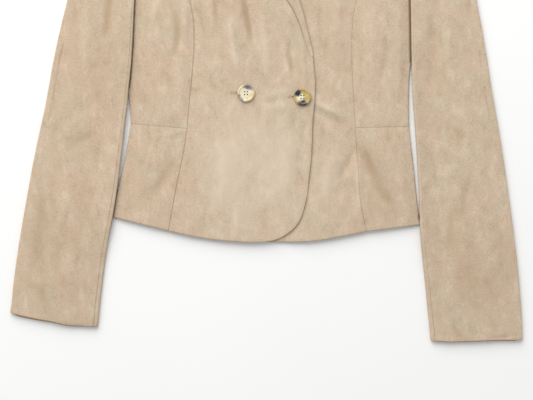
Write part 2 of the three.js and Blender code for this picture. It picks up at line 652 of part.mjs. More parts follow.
// A lapel lies back on its front and turns round the roll line down to the front's own layer
function lapel(name, right) {
  const { roll, outline } = lapelEdges(right, right ? 0 : lapelStart);
  const frontTop = right ? rightFrontTop : leftFrontTop;
  return turnedPiece({
    length: meanSpan([roll, outline]),
    rows: 12,
    rowAt: (v) => ({
      edge: roll(v),
      overEnd: outline(v),
      underEnd: moved(roll(v), outline(v), body.foldInset - seam),
      turns: "round",
    }),
    underAt: () => [0],
    overCols: 5,
    floorAt: (x, y) => frontTop(x, y) - wall,
    topAt: (x, y) => frontTop(x, y) + body.lapelGap + wall,
    onLeft: !right,
    material: suede(name),
  });
}

// A four-hole button turned from horn, with a raised rim round a shallow dish
const wasm = await Module();
wasm.setup();

function solidOf(geometry) {
  geometry.deleteAttribute("normal");
  geometry.deleteAttribute("uv");
  const merged = mergeVertices(geometry, 1e-4);
  return new wasm.Manifold(
    new wasm.Mesh({
      numProp: 3,
      vertProperties: merged.attributes.position.array,
      triVerts: new Uint32Array(merged.index.array),
    }),
  );
}

function hornButton({ name, x, y }) {
  const { radius, height, rim, dish, holeRadius, holeAt } = button;
  const profile = [
    [0, 0], [radius * 0.72, 0], [radius - 0.9, 0.6], [radius, 1.9], [radius - 0.25, height - 0.8],
    [radius - 1, height], [radius - rim, height - 0.1], [radius - rim - 1, height - dish * 0.8],
    [radius * 0.4, height - dish], [0, height - dish],
  ].map(([r, z]) => new THREE.Vector2(r, z));
  const turned = new THREE.LatheGeometry(profile, 20);
  turned.rotateX(Math.PI / 2);
  let solid = solidOf(turned);
  for (let k = 0; k < 4; k += 1) {
    const angle = Math.PI / 4 + (k * Math.PI) / 2;
    const hole = new THREE.CylinderGeometry(holeRadius, holeRadius, height * 3, 6);
    hole.rotateX(Math.PI / 2);
    hole.translate(holeAt * Math.cos(angle), holeAt * Math.sin(angle), 0);
    solid = solid.subtract(solidOf(hole));
  }
  const { vertProperties, triVerts } = solid.getMesh();
  const geometry = new THREE.BufferGeometry();
  geometry.setAttribute("position", new THREE.BufferAttribute(vertProperties, 3));
  geometry.setIndex(new THREE.BufferAttribute(triVerts, 1));
  geometry.computeVertexNormals();
  const mesh = new THREE.Mesh(geometry, horn(name));
  const reach = radius * button.restsOn;
  const around = fromTo(0, 2 * Math.PI, 12).map((angle) =>
    rightFrontTop(x + reach * Math.cos(angle), y + reach * Math.sin(angle)),
  );
  mesh.position.set(x, y, Math.max(rightFrontTop(x, y), ...around) + button.lift);
  return mesh;
}

addPiece("back", back());
addPiece("front_left", front("front_left", false));
addPiece("front_right", front("front_right", true));
for (const right of [true, false]) {
  const side = right ? "right" : "left";
  addPiece(`side_front_${side}`, sidePanel(`side_front_${side}`, right, true));
  addPiece(`peplum_${side}`, sidePanel(`peplum_${side}`, right, false));
  addPiece(`upper_sleeve_${side}`, sleevePiece(`upper_sleeve_${side}`, right, true));
  addPiece(`under_sleeve_${side}`, sleevePiece(`under_sleeve_${side}`, right, false));
  addPiece(`lapel_${side}`, lapel(`lapel_${side}`, right));
}
buttonPlaces.forEach((place) => addPiece(place.name, hornButton(place)));

// The whole jacket is set with the middle of its outline over the origin
const outline = new THREE.Box3().setFromObject(jacket);
const middle = outline.getCenter(new THREE.Vector3());
jacket.position.set(-middle.x, -middle.y, 0);

export default jacket;
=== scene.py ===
# A suede jacket laid flat on a pale surface and seen from straight above. The tables are in
# millimetres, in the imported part's frame, and mm turns them into Blender's metres.
import bmesh
import bpy
import math
import numpy as np
from mathutils import Matrix, Vector, kdtree, noise
from mathutils.bvhtree import BVHTree


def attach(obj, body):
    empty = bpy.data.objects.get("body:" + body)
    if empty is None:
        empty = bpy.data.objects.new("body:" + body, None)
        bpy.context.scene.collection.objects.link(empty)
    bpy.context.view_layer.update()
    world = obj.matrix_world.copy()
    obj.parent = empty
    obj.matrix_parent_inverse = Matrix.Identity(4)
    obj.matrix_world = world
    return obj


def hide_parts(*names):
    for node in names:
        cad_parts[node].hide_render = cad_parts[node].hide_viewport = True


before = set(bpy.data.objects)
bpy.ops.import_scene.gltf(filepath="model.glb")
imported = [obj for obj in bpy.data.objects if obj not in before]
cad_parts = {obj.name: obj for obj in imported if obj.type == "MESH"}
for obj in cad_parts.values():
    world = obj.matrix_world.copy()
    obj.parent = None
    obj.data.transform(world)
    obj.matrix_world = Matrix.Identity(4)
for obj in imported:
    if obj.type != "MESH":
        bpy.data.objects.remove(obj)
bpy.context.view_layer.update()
mm = 0.001
scene = bpy.context.scene
scene.view_settings.view_transform = "Standard"


def smooth(t):
    t = np.clip(t, 0, 1)
    return t * t * (3 - 2 * t)


def linear(red, green, blue):
    parts = [c / 255 for c in (red, green, blue)]
    return [c / 12.92 if c <= 0.04045 else ((c + 0.055) / 1.055) ** 2.4 for c in parts] + [1]


# Each fold: x and y of its start, middle and end, half its width, and its rise
bodyFolds = {
    "chest trough": (-36, 174, -28, 125, -18, 78, 7.1, -1.3),
    "chest trough core": (-33, 160, -26, 125, -20, 94, 3.7, -0.7),
    "beside chest trough": (-53, 134, -48, 88, -38, 39, 9.3, 1.3),
    "beside trough, centre": (-11, 140, -3, 94, 2, 45, 11.4, 1.1),
    "faint upper trough": (-73, 162, -71, 128, -65, 91, 6.4, -0.8),
    "upper trough 2": (-91, 137, -86, 97, -79, 54, 8.6, -0.4),
    "along princess seam": (-118, 171, -115, 134, -118, 91, 6.0, 1.0),
    "side trough": (-139, 154, -126, 111, -136, 62, 6.9, -1.3),
    "side swell": (-166, 174, -159, 125, -152, 65, 12.9, 0.9),
    "side swell low": (-126, 68, -122, 25, -126, -24, 10.0, 0.7),
    "under arm": (-181, 97, -186, 48, -176, -6, 8.6, -0.6),
    "over right button": (35, 105, 35, 71, 42, 31, 5.1, -1.1),
    "left of it": (22, 91, 27, 65, 34, 37, 6.3, 0.9),
    "inside front edge": (44, 117, 52, 74, 55, 28, 5.7, 0.8),
    "left button pull": (-22, 8, -13, -3, -5, -24, 5.1, -0.6),
    "left button lift": (-41, 9, -51, -5, -55, -24, 8.6, 0.6),
    "between buttons": (-9, 15, 15, 21, 37, 24, 7.1, 0.6),
    "below it": (-12, 5, 11, 9, 35, 9, 4.3, -0.35),
    "lower between": (-6, -5, 15, 1, 42, -3, 8.6, 0.5),
    "right button pull": (48, -1, 42, -18, 34, -41, 5.7, -0.45),
    "along lower edge": (54, -15, 50, -69, 44, -138, 7.9, -0.8),
    "inside lower edge": (34, -26, 28, -75, 20, -146, 12.9, 0.6),
    "lower swell": (-58, -38, -63, -92, -75, -169, 15.7, 0.6),
    "lower hollow": (-23, -35, -21, -92, -28, -175, 15.7, -0.5),
    "hem ripple 1": (-83, -126, -88, -158, -92, -195, 7.1, -0.6),
    "hem ripple 2": (-43, -144, -43, -169, -42, -198, 7.1, 0.4),
    "hem ripple 3": (-1, -132, -1, -164, 2, -198, 8.6, -0.4),
    "peplum trough": (-122, -64, -148, -104, -184, -138, 12.5, -0.7),
    "above peplum trough": (-135, -55, -161, -78, -191, -109, 11.4, 0.35),
    "below peplum trough": (-129, -109, -149, -138, -175, -167, 11.4, 0.35),
    "waist pinch": (-115, -28, -135, -38, -161, -42, 5.7, 0.5),
    "left front ridge": (64, 12, 88, -2, 120, -18, 7.9, 1.6),
    "under that ridge": (68, -3, 92, -16, 120, -32, 6.4, -0.75),
    "left front low": (74, -24, 97, -36, 117, -58, 8.6, 0.5),
    "pleat towards edge": (128, -48, 118, -78, 103, -112, 8.6, -1.1),
    "pleat towards edge 2": (114, -101, 101, -126, 85, -164, 10.0, -0.5),
    "pleat towards side": (135, -46, 152, -92, 188, -152, 10.0, -1.6),
    "ridge down the seam": (130, -61, 132, -118, 135, -178, 8.6, 1.2),
    "beyond side pleat": (165, -44, 185, -86, 205, -132, 11.4, 0.9),
    "left front swell": (100, -49, 87, -98, 74, -149, 12.9, 0.7),
    "upper left front": (74, 145, 77, 111, 80, 68, 6.4, -0.9),
    "upper left swell": (97, 168, 102, 114, 104, 54, 12.9, 0.7),
    "left side swell": (142, 162, 151, 97, 148, 25, 12.9, 0.7),
    "left side hollow": (168, 97, 171, 68, 151, 14, 10.0, -0.7),
    "left side edge": (188, 154, 191, 82, 190, 5, 7.1, 0.4),
}

sleeveFolds = {
    "right inner trough": (-224, 177, -226, 134, -231, 94, 7.9, -1.1),
    "right upper swell": (-255, 168, -258, 102, -255, 45, 11.4, 1.2),
    "right elbow": (-232, -6, -261, -15, -295, -38, 11.4, 0.6),
    "right elbow hollow": (-238, -35, -264, -46, -289, -66, 10.0, -0.6),
    "right fore swell": (-278, -61, -287, -126, -292, -189, 15.7, 0.7),
    "right fore hollow": (-315, -118, -324, -184, -332, -252, 12.9, -0.7),
    "right low swell": (-275, -184, -281, -235, -287, -289, 14.3, 0.6),
    "right cuff dent": (-332, -247, -318, -275, -312, -307, 8.6, -0.6),
    "right cuff lip": (-298, -301, -278, -307, -249, -310, 4.3, -0.5),
    "left upper swell": (254, 174, 257, 111, 263, 54, 12.9, 1.0),
    "left upper hollow": (234, 140, 240, 82, 248, 17, 10.0, -0.6),
    "left elbow": (231, 17, 257, 2, 280, -26, 11.4, 0.6),
    "left elbow hollow": (248, -24, 271, -35, 288, -52, 10.0, -0.9),
    "left elbow low": (243, -46, 265, -64, 300, -75, 11.4, 0.5),
    "left fore hollow": (283, -98, 283, -132, 277, -167, 8.6, -0.8),
    "left fore hollow 2": (263, -146, 265, -175, 263, -212, 8.6, -0.6),
    "left fore swell": (303, -118, 311, -184, 320, -247, 14.3, 0.7),
    "left low swell": (257, -204, 265, -252, 271, -298, 12.9, 0.6),
    "left low hollow": (291, -221, 297, -261, 306, -301, 11.4, -0.6),
    "left cuff nick": (268, -307, 270, -318, 272, -332, 3.4, -0.45),
    "left cuff crease": (317, -330, 340, -327, 364, -323, 3.6, -0.5),
    "right head 1": (-201, 254, -226, 237, -244, 197, 11.4, 0.9),
    "right head 2": (-212, 288, -238, 268, -261, 228, 12.9, -0.7),
    "left head 1": (220, 248, 243, 231, 263, 194, 11.4, 0.9),
    "left head 2": (225, 285, 254, 265, 277, 222, 12.9, -0.7),
}

# Broad areas painted lighter or darker: middle, half width, half height and amount
broadTones = [
    (-23, -82, 80, 100, 1.3),
    (100, -105, 40, 65, 0.45),
    (-80, 110, 50, 60, -0.3),
    (-150, 50, 40, 90, -0.3),
    (-155, -110, 45, 60, -0.4),
    (95, 60, 35, 80, -0.5),
    (170, -105, 45, 65, -0.6),
    (-245, 70, 60, 130, -0.8),
    (-290, -200, 70, 120, -0.8),
    (275, 60, 60, 130, -0.3),
    (300, -230, 80, 100, -0.8),
]

# Where the folds of the body have died out under the sleeves, on each side, by height
calmSides = {
    "y": [-193, -157, -111, -65, -28, 17, 44, 93, 153, 204, 234, 302],
    "right": [-223, -220, -211, -201, -195, -196, -194, -191, -188, -182, -178, -181],
    "left": [220, 218, 213, 208, 204, 203, 204, 205, 204, 200, 196, 199],
    "width": 18,
}
shoulder = {"neckX": 75, "neckY": 335, "endX": 194, "endY": 301, "centre": 9.5, "fade": 45}

cloth = {
    "mergeWithin": 0.01,
    "quadAngle": 40,
    "fine": 3,
    "coarse": 2,
    "rimAngle": 50,
    "seamWithin": 1.3,  # cut edges this close are sewn together
    "armWithin": 2.6,  # and these, on a sleeve or above the armpit
    "armpitY": 160,
    "seamCrease": 1,
    "edgeCrease": 0.3,
    "seamWidth": 0.8,
    "dipWidth": 3.2,
    "drawn": 0.46,  # share of a sewn gap that each piece closes
    "drawnWidth": 2.5,
    "seamDips": 0.3,
    # a sleeve's seams hardly show above its cuff
    "sleeveSeams": {"above": 0.06, "cuff": 0.5, "from": -215, "over": 70},
    "edgeWidth": 3.5,
    "lift": 2.3,
    "foldStrength": 1.6,
    "foldShade": 1.25,  # the rise at which the painted light on a fold is halfway to its lightest, and the painted shade in a trough to its darkest
    "toneSize": 22,
    "toneVaries": 0.9,
    "waveSize": 30,
    "waveHeight": 0.5,
    "rippleSize": 10,
    "rippleHeight": 0.1,
    "lowest": -0.25,  # most that the body may sink, because the back lies under it
    "sleeveLift": 1.6,
    "sleeveLowest": -0.6,
    "layer": (1.5, 1.6),  # height over its own floor where the upper layer starts to move
    "foldSteps": 13,
    "foldFade": 0.3,  # share of a fold's length in which each end dies out
    "foldSharpness": 1.5,
    "easing": 0.3,
    "probe": 1.5,  # how far beside a place a sleeve's floor is looked for
}


def foldHeights(folds, places):
    heights = np.zeros(len(places))
    for x0, y0, x1, y1, x2, y2, half, rise in folds.values():
        start, middle, end = np.array([x0, y0]), np.array([x1, y1]), np.array([x2, y2])
        low = np.minimum(np.minimum(start, middle), end) - 2 * half
        high = np.maximum(np.maximum(start, middle), end) + 2 * half
        near = np.flatnonzero(((places > low) & (places < high)).all(axis=1))
        bend = 2 * middle - (start + end) / 2
        path = [
            (1 - t) ** 2 * start + 2 * t * (1 - t) * bend + t * t * end
            for t in np.linspace(0, 1, cloth["foldSteps"])
        ]
        points = places[near]
        closest = np.full(len(near), 1e9)
        along = np.zeros(len(near))
        for k, (here, there) in enumerate(zip(path, path[1:])):
            step = there - here
            part = np.clip((points - here) @ step / (step @ step), 0, 1)
            away = np.hypot(*(points - here - part[:, None] * step).T)
            nearer = away < closest
            closest[nearer] = away[nearer]
            along[nearer] = (k + part[nearer]) / (len(path) - 1)
        fade = smooth(np.minimum(along, 1 - along) / cloth["foldFade"])
        heights[near] += rise * fade * np.exp(-((cloth["foldSharpness"] * closest / half) ** 2))
    return heights


def broadTone(places):
    x, y = places.T
    tones = np.zeros(len(places))
    for middleX, middleY, halfX, halfY, amount in broadTones:
        tones += amount * np.exp(-(((x - middleX) / halfX) ** 2 + ((y - middleY) / halfY) ** 2))
    return tones


def unevenness(places, seed):
    big, small = cloth["waveSize"], cloth["rippleSize"]
    return np.array([
        cloth["waveHeight"] * noise.noise((x / big, y / (1.6 * big), seed))
        + cloth["rippleHeight"] * noise.noise((x / small, y / (1.4 * small), seed + 5))
        for x, y in places
    ])


# The painted shade and light on a fold are stronger in some places than in others
def patchy(places):
    size = cloth["toneSize"]
    return np.array([
        1 + cloth["toneVaries"] * noise.noise((x / size, y / size, 3.3)) for x, y in places
    ])


def softFloor(rise, lowest):
    return (rise + lowest + np.hypot(rise - lowest, cloth["easing"])) / 2


# How far the cloth rises at each place, and the folds alone, which set the painted shade and light
# of the folds
def bodyRise(places):
    x, y = places.T
    fromRight = x - np.interp(y, calmSides["y"], calmSides["right"])
    fromLeft = np.interp(y, calmSides["y"], calmSides["left"]) - x
    sides = smooth(np.minimum(fromRight, fromLeft) / calmSides["width"])
    beyondNeck = np.abs(x - shoulder["centre"]) - shoulder["neckX"]
    out = np.clip(beyondNeck / (shoulder["endX"] - shoulder["neckX"]), 0, 1)
    seamY = shoulder["neckY"] + out * (shoulder["endY"] - shoulder["neckY"])
    folds = foldHeights(bodyFolds, places)
    calm = sides * smooth((seamY - y) / shoulder["fade"])
    rise = (cloth["lift"] + cloth["foldStrength"] * folds + unevenness(places, 2)) * calm
    return softFloor(rise, cloth["lowest"]), folds * calm


def sleeveRise(places):
    folds = foldHeights(sleeveFolds, places)
    rise = cloth["sleeveLift"] + cloth["foldStrength"] * folds + unevenness(places, 8)
    return softFloor(rise, cloth["sleeveLowest"]), folds


def applied(piece):
    graph = bpy.context.evaluated_depsgraph_get()
    finished = bpy.data.meshes.new_from_object(piece.evaluated_get(graph), depsgraph=graph)
    piece.modifiers.clear()
    piece.data = finished
    return piece


def placesOf(mesh):
    flat = np.empty(len(mesh.vertices) * 3)
    mesh.vertices.foreach_get("co", flat)
    return flat.reshape(-1, 3) / mm


def newPiece(name, built, material):
    mesh = bpy.data.meshes.new(name)
    built.to_mesh(mesh)
    built.free()
    piece = bpy.data.objects.new(name, mesh)
    scene.collection.objects.link(piece)
    if material:
        mesh.materials.append(material)
    return piece


# A welded copy of a CAD node in four-sided faces, and points along its cut edges
def weldedCopy(name):
    built = bmesh.new()
    built.from_mesh(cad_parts[name].data)
    bmesh.ops.remove_doubles(built, verts=built.verts, dist=cloth["mergeWithin"] * mm)
    angle = math.radians(cloth["quadAngle"])
    bmesh.ops.join_triangles(
        built, faces=built.faces, angle_face_threshold=angle, angle_shape_threshold=2 * angle,
    )
    built.edges.index_update()
    rim = []
    for edge in built.edges:
        if edge.calc_face_angle(0) > math.radians(cloth["rimAngle"]):
            low, high = [corner.co / mm for corner in edge.verts]
            count = max(1, round((high - low).length))
            points = [low.lerp(high, k / count) for k in range(count)]
            rim.append({"edge": edge.index, "points": points})
    return newPiece("suede_" + name, built, None), rim


def treeOf(points):
    tree = kdtree.KDTree(len(points))
    for k, point in enumerate(points):
        tree.insert(point, k)
    tree.balance()
    return tree


def addNode(tree, kind, values=None, **settings):
    made = tree.nodes.new(kind)
    for name, value in settings.items():
        setattr(made, name, value)
    for name, value in (values or {}).items():
        made.inputs[name].default_value = value
    return made


def noiseAt(tree, place, scale, detail, roughness, distortion=0):
    made = addNode(tree, "ShaderNodeTexNoise", {
        "Scale": scale, "Detail": detail, "Roughness": roughness, "Distortion": distortion,
    })
    tree.links.new(place, made.inputs["Vector"])
    return made.outputs["Fac"]


def ranged(tree, value, low, high, least=0, most=1):
    made = addNode(tree, "ShaderNodeMapRange", {
        "From Min": low, "From Max": high, "To Min": least, "To Max": most,
    }, interpolation_type="SMOOTHSTEP")
    tree.links.new(value, made.inputs["Value"])
    return made.outputs["Result"]


def mixed(tree, share, first, second, blend="MIX"):
    made = addNode(tree, "ShaderNodeMix", data_type="RGBA", blend_type=blend)
    shareIn, firstIn, secondIn = [made.inputs[k] for k in (0, 6, 7)]
    for value, socket in ((share, shareIn), (first, firstIn), (second, secondIn)):
        if isinstance(value, bpy.types.NodeSocket):
            tree.links.new(value, socket)
        else:
            socket.default_value = value
    return made.outputs[2]


def bumped(tree, height, strength, distance, before=None):
    made = addNode(tree, "ShaderNodeBump", {"Strength": strength, "Distance": distance * mm})
    tree.links.new(height, made.inputs["Height"])
    if before:
        tree.links.new(before, made.inputs["Normal"])
    return made.outputs["Normal"]


def newMaterial(name, values):
    material = bpy.data.materials.new(name)
    material.use_nodes = True
    tree = material.node_tree
    shader = tree.nodes["Principled BSDF"]
    for socket, value in values.items():
        shader.inputs[socket].default_value = value
    place = addNode(tree, "ShaderNodeTexCoord").outputs["Object"]
    return material, tree, shader, place


suede = {
    "base": (196, 176, 152),
    "rosy": (197, 174, 150),
    "greyed": (190, 174, 149),
    # The next two are the nap's own darker and lighter tones, and also painted shade in fold
    # troughs and painted light on fold ridges
    "brushedAndFoldShade": (165, 139, 109),
    "raisedAndFoldLight": (219, 203, 182),
    "fibre": (156, 133, 107),
    "seam": (142, 116, 89),
    "edge": (180, 157, 130),
    # The next two are painted shade: a thin shadow line along free edges, and the crevice where
    # each sleeve's inner edge meets the body
    "edgeShadowLine": (128, 101, 74),
    "creviceShade": (92, 70, 46),
    "patch": 24,
    "greyPatch": 34,
    "nap": 85,
    "grain": 560,
    "fine": 1500,
    "napShare": 0.46,
    "grainShare": 0.46,
    "foldShadeShare": 0.68,
    "seamShare": 0.34,
    "edgeShare": 0.3,
    "edgeShadowShare": 0.45,
    "creviceShadeShare": 0.85,
    "grainBump": 0.32,
    "napBump": 0.22,
}


def makeSuede():
    material, tree, shader, place = newMaterial("suede", {
        "Roughness": 0.93,
        "Specular IOR Level": 0.2,
        "Sheen Weight": 0.22,
        "Sheen Roughness": 0.5,
        "Sheen Tint": linear(250, 236, 218),
    })
    turned = addNode(tree, "ShaderNodeMapping", {
        "Location": (3.1, 1.7, 0.4), "Rotation": (0, 0, 0.35), "Scale": (1, 0.55, 1),
    })
    tree.links.new(place, turned.inputs["Vector"])
    along = turned.outputs["Vector"]
    patches = ranged(tree, noiseAt(tree, along, suede["patch"], 3, 0.55, 0.4), 0.36, 0.62)
    greys = ranged(tree, noiseAt(tree, place, suede["greyPatch"], 4, 0.6, 0.5), 0.46, 0.68, 0, 0.8)
    nap = noiseAt(tree, along, suede["nap"], 5, 0.62, 0.3)
    grain = noiseAt(tree, place, suede["grain"], 3, 0.7)
    fine = noiseAt(tree, place, suede["fine"], 2, 0.6)
    colour = mixed(tree, patches, linear(*suede["base"]), linear(*suede["rosy"]))
    colour = mixed(tree, greys, colour, linear(*suede["greyed"]))
    brushedAndFoldShade, raisedAndFoldLight, fibre = [linear(*suede[key]) for key in ("brushedAndFoldShade", "raisedAndFoldLight", "fibre")]
    napShare, grainShare, foldShadeShare = suede["napShare"], suede["grainShare"], suede["foldShadeShare"]
    colour = mixed(tree, ranged(tree, nap, 0.5, 0.76, 0, napShare), colour, brushedAndFoldShade)
    colour = mixed(tree, ranged(tree, nap, 0.5, 0.27, 0, napShare), colour, raisedAndFoldLight)
    colour = mixed(tree, ranged(tree, grain, 0.5, 0.74, 0, grainShare), colour, fibre)
    colour = mixed(tree, ranged(tree, grain, 0.5, 0.28, 0, grainShare), colour, raisedAndFoldLight)
    marks = {
        key: addNode(tree, "ShaderNodeAttribute", attribute_name=key).outputs["Fac"]
        for key in ("seamShade", "edgeWearAndShadow", "foldShade", "creviceShade")
    }
    # Painted light and shade: fold troughs darker and ridges lighter, a thin painted shadow right
    # at each free edge over a wider worn band, and painted shade beside each sleeve's inner edge.
    # Seams are darker too.
    for mark, low, high, share, shade in (
        ("foldShade", 0.5, 0, foldShadeShare, "brushedAndFoldShade"),
        ("foldShade", 0.5, 1, foldShadeShare, "raisedAndFoldLight"),
        ("edgeWearAndShadow", 0, 1, suede["edgeShare"], "edge"),
        ("edgeWearAndShadow", 0.88, 1, suede["edgeShadowShare"], "edgeShadowLine"),
        ("seamShade", 0, 1, suede["seamShare"], "seam"),
        ("creviceShade", 0, 1, suede["creviceShadeShare"], "creviceShade"),
    ):
        reach = ranged(tree, marks[mark], low, high, 0, share)
        colour = mixed(tree, reach, colour, linear(*suede[shade]))
    tree.links.new(colour, shader.inputs["Base Color"])
    normal = bumped(tree, nap, suede["napBump"], 1.6)
    normal = bumped(tree, grain, suede["grainBump"], 0.5, normal)
    normal = bumped(tree, fine, suede["grainBump"], 0.2, normal)
    tree.links.new(normal, shader.inputs["Normal"])
    return material


suedeMaterial = makeSuede()
print("suede material made")

backPieces = ["back"]
frontPieces = ["front_right", "front_left"]
sidePieces = ["side_front_right", "side_front_left", "peplum_right", "peplum_left"]
sleevePieces = [
    "upper_sleeve_right", "under_sleeve_right", "upper_sleeve_left", "under_sleeve_left",
]
lapelPieces = ["lapel_right", "lapel_left"]
suedePieces = backPieces + frontPieces + sidePieces + sleevePieces + lapelPieces

welded = {name: weldedCopy(name) for name in suedePieces}
rims = {name: rim for name, (piece, rim) in welded.items()}


# The floor of a sleeve is the lowest cloth of its two pieces at each place
def sleeveFloor(side):
    corners, faces = [], []
    for name in sleevePieces:
        if name.endswith(side):
            mesh = welded[name][0].data
            faces += [[k + len(corners) for k in face.vertices] for face in mesh.polygons]
            corners += [Vector(corner.co) / mm for corner in mesh.vertices]
    tree = BVHTree.FromPolygons(corners, faces)
    middle = sum((corner.x for corner in corners), 0) / len(corners)

    def floorAt(x, y):
        beside = cloth["probe"]
        inward = beside if x < middle else -beside
        for dx, dy in ((0, 0), (0, beside), (inward, 0), (inward, beside), (inward, -beside)):
            hit = tree.ray_cast((x + dx, y + dy, -1), (0, 0, 1))[0]
            if hit:
                return hit.z
        return 0
    return floorAt


floors = {side: sleeveFloor(side) for side in ("right", "left")}
print("cloth welded")


def awayFrom(points, places):
    if not points:
        return np.full(len(places), 100.0)
    tree = treeOf(points)
    return np.array([tree.find(place)[2] for place in places])


# The inner edge of each sleeve, as x by height. Shade is painted along it where the sleeve touches
# the body, in each of the heights that "closed" lists.
crevices = {
    "right": {
        "y": [-312, -259, -210, -157, -111, -65, -30, -1, 45, 93, 154],
        "x": [-241, -235.5, -229.5, -219.5, -212.5, -207.5, -204.5, -200, -194, -190.5, -188],
        "closed": [(22, 172), (-165, -98)],
        "width": 1.3,
        "inward": -1,
        "outerY": [-293, -224, -149, -69, 11, 68, 120, 154],
        "outerX": [-367, -356.5, -345, -331, -315, -305, -293.5, -285],
        "outerMoves": [(-293, 0), (-281, 0), (-252, -1.6), (-224, -2.1), (-195, -2.4), (-166, -2.0),
                       (-109, -1.4), (-52, -1.1), (0, 0)],
        "innerMoves": [(-312, 0), (-180, 0), (-160, 0.7), (-109, 0.9), (-81, 0.8), (-52, 1.8),
                       (-23, 1.4), (5, 0.9), (25, 0)],
        "cuffMoves": [(-372, 2), (-367, 0.5), (-363, -1.2), (-352, -2.3), (-338, -2.8),
                      (-324, -3.5), (-309, -3.6), (-299, -4.2), (-289, -5.4), (-278, -4.9),
                      (-266, -3.4), (-252, -1.7), (-244, -0.3), (-240, 1)],
        "cuff": [(-367, -292.8), (-241, -311.8)],
    },
    "left": {
        "y": [-334, -274, -220, -164, -114, -65, -17, 17, 58, 125, 154],
        "x": [236, 231, 226, 219.5, 217.5, 215, 212, 209.5, 207, 206, 205.5],
        "closed": [(60, 172), (-165, -148)],
        "width": 2.6,
        "inward": 1,
        "outerY": [-331, -279, -206, -147, -104, -53, 17, 93, 154],
        "outerX": [367, 364.5, 357.5, 350, 344, 335.5, 323.5, 313.5, 301],
        "outerMoves": [(-331, 0), (-100, 0), (-52, 1.0), (-23, 1.1), (5, 0.9), (35, 0), (60, -0.5),
                       (91, -1.1), (140, -0.3), (154, 0)],
        "innerMoves": [(-334, -1.2), (-309, -1.4), (-281, -1.8), (-252, -2.0), (-224, -2.3),
                       (-195, -2.1), (-160, -1.0), (-130, -0.2), (-52, -0.4), (-23, -0.8),
                       (5, -1.0), (33, -0.8), (55, 0)],
        "cuffMoves": [(235, 3), (237, 1.9), (242, 0), (248, -0.4), (262, -1.8), (291, -1.7),
                      (320, -1.1), (334, -0.8), (348, -1.4), (359, -1.9), (364, -1), (368, 2)],
        "cuff": [(237, -334), (366, -330.4)],
    },
}
# How far the painted shade reaches over a sleeve's rolled inner edge, and how far above the cuff
# the cuff's bow reaches
roll = {"reach": 7, "steepest": 0.35, "flattest": 0.9, "open": 0.4, "fade": 8, "cuffReach": 28}


# The cuffs bow and the sleeves' edges bend a little more than their solids' do
def sleeveMoves(places, side):
    line = crevices[side]
    x, y = places.T
    outer = np.interp(y, line["outerY"], line["outerX"])
    inner = np.interp(y, line["y"], line["x"])
    across = np.clip((x - outer) / (inner - outer), 0, 1)
    outerMove, innerMove = [np.interp(y, *zip(*line[key])) for key in ("outerMoves", "innerMoves")]
    aboveCuff = y - np.interp(x, *zip(*sorted(line["cuff"])))
    nearCuff = np.exp(-((np.maximum(aboveCuff, 0) / roll["cuffReach"]) ** 2))
    return np.array([
        outerMove * (1 - across) + innerMove * across,
        np.interp(x, *zip(*line["cuffMoves"])) * nearCuff,
    ]).T


# How much painted shade each place gets beside a sleeve's inner edge: on the body right beside it,
# and on the sleeve's own rolled edge
def creviceShadeAt(places, normals, onSleeve):
    marks = np.zeros(len(places))
    for line in crevices.values():
        y = places[:, 1]
        away = line["inward"] * (np.interp(y, line["y"], line["x"]) - places[:, 0])
        closed = np.max([
            smooth((y - low) / roll["fade"]) * smooth((high - y) / roll["fade"])
            for low, high in line["closed"]
        ], axis=0)
        if onSleeve:
            turn = roll["flattest"] - roll["steepest"]
            steep = smooth((roll["flattest"] - normals[:, 2]) / turn)
            depth = roll["open"] + (1 - roll["open"]) * closed
            here = steep * (np.abs(away) < roll["reach"]) * depth
        else:
            here = closed * np.exp(-((np.maximum(away, 0) / line["width"]) ** 2))
        marks = np.maximum(marks, here)
    return marks


# A vertex beside a seam moves towards the other piece, by nearly half of the gap between them
def drawSeams(places, sewn, others):
    if not sewn:
        return
    tree = treeOf(sewn)
    for place in places:
        point, index, away = tree.find(place)
        if away < 2 * cloth["drawnWidth"]:
            gap = others.find(point)[0] - point
            share = cloth["drawn"] * math.exp(-((away / cloth["drawnWidth"]) ** 2))
            place[:2] += share * np.array(gap[:2])


# Each front runs out to the armhole and down to the side panel, and the sleeve comes in to meet
# it. "out" is a distance from the centre line.
armholeFill = {
    "centre": 9.5,
    "y": [232.2, 252],
    "out": [180.9, 186.8],
    "to": 187.3,
    "rise": 2.4,
    "top": 258,
    "fade": 6,
    "reach": 7,
    "seam": [225.6, 229.3, 233.8, 237.4],
    "seamOut": [169, 174.5, 181, 187],
    "drop": 2.7,
    "dropFrom": 169,
    "dropOver": 15,
    "sleeveOut": 188.5,
    "sleeveFrom": 216,
    "sleeveOver": 10,
    "sleeveIn": 1.7,
}


